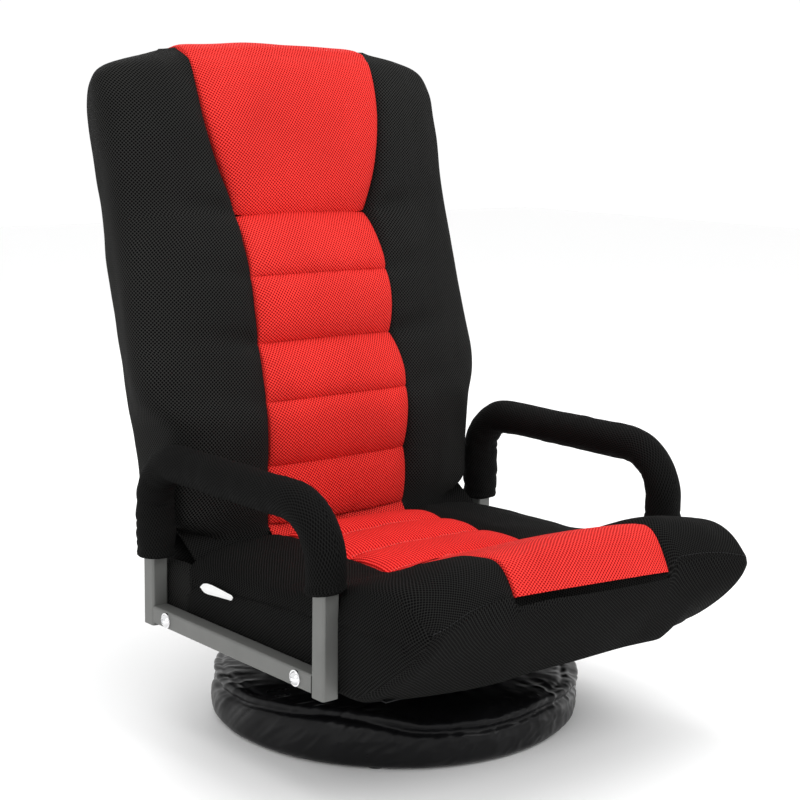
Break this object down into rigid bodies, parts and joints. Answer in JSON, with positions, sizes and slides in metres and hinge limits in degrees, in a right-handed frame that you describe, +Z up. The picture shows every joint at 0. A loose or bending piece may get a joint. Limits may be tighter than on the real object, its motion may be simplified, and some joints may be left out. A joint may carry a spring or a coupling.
{
  "type": "swivel floor chair",
  "caption": "Legless padded floor chair that swivels on a low covered ring base, with a reclining channelled back and padded loop armrests.",
  "frame": {"origin": "on the floor, at the swivel's axis under the middle of the base", "axes": "+Z up, the chair faces -Y at rest, +X is the sitter's left hand"},
  "size_m": [0.5338, 0.6401, 0.758],
  "materials": {
    "black_mesh": "black sandwich air mesh with a fine diagonal pattern",
    "red_mesh": "bright red sandwich air mesh, padded and channelled",
    "foam": "cut polyurethane foam",
    "glossy_vinyl": "glossy black coated cloth, soft creases",
    "grey_paint": "warm grey satin paint on steel tube",
    "tube_steel": "black powder coat",
    "zinc_plate": "zinc plated pressed steel",
    "bright_steel": "bright turned steel",
    "chrome": "polished chrome plate",
    "foot_rubber": "matt black rubber",
    "cage_plastic": "natural nylon",
    "elastic": "woven black elastic",
    "lining": "thin black nonwoven cloth",
    "white_tag": "plain white woven tape"
  },
  "bodies": {
    "base": {"base_ring": "tube_steel", "base_feet": "foot_rubber", "base_spokes": "tube_steel", "lower_swivel_plate": "zinc_plate", "bearing_balls": "bright_steel", "ball_cage": "cage_plastic", "centre_rivet": "bright_steel", "base_skirt": "glossy_vinyl", "hem_elastic": "elastic"},
    "seat": {"upper_swivel_plate": "zinc_plate", "seat_side_rails": "tube_steel", "seat_cross_members": "tube_steel", "seat_front_tube": "tube_steel", "seat_bracket": "tube_steel", "seat_webbing": "elastic", "seat_pan_panel": "red_mesh", "front_roll_panel": "red_mesh", "seat_cover": "black_mesh", "seat_foam": "foam", "side_tag": "white_tag", "dust_cover": "lining", "hinge_housing_left": "zinc_plate", "hinge_housing_right": "zinc_plate", "hinge_pins": "bright_steel", "pawl_pins": "bright_steel", "pawl_springs": "bright_steel", "arm_hoop_left": "grey_paint", "arm_hoop_right": "grey_paint", "arm_rail_left": "grey_paint", "arm_rail_right": "grey_paint", "arm_grip_left": "foam", "arm_grip_right": "foam", "arm_sleeve_left": "black_mesh", "arm_sleeve_right": "black_mesh", "arm_bolts": "chrome", "arm_washers": "chrome", "arm_spacers": "bright_steel", "weld_nuts": "bright_steel"},
    "back": {"toothed_plate_left": "zinc_plate", "toothed_plate_right": "zinc_plate", "back_frame_tube": "tube_steel", "back_cross_bars": "tube_steel", "back_webbing": "elastic", "lumbar_panel": "red_mesh", "headrest_panel": "red_mesh", "back_cover": "black_mesh", "back_foam": "foam"},
    "left_pawl": {"pawl_left": "bright_steel"},
    "right_pawl": {"pawl_right": "bright_steel"}
  },
  "joints": [
    {"name": "swivel", "type": "hinge", "parent": "base", "child": "seat", "pos_m": [0, 0, 0.08], "axis": [0, 0, 1], "continuous": true},
    {"name": "recline", "type": "hinge", "parent": "seat", "child": "back", "pos_m": [0, 0.15, 0.15], "axis": [-1, 0, 0], "range_deg": [-15, 75]},
    {"name": "pawl_left_lift", "type": "hinge", "parent": "seat", "child": "left_pawl", "pos_m": [0.2, 0.1193, 0.174], "axis": [1, 0, 0], "range_deg": [0, 8]},
    {"name": "pawl_right_lift", "type": "hinge", "parent": "seat", "child": "right_pawl", "pos_m": [-0.2, 0.1193, 0.174], "axis": [1, 0, 0], "range_deg": [0, 8]}
  ]
}
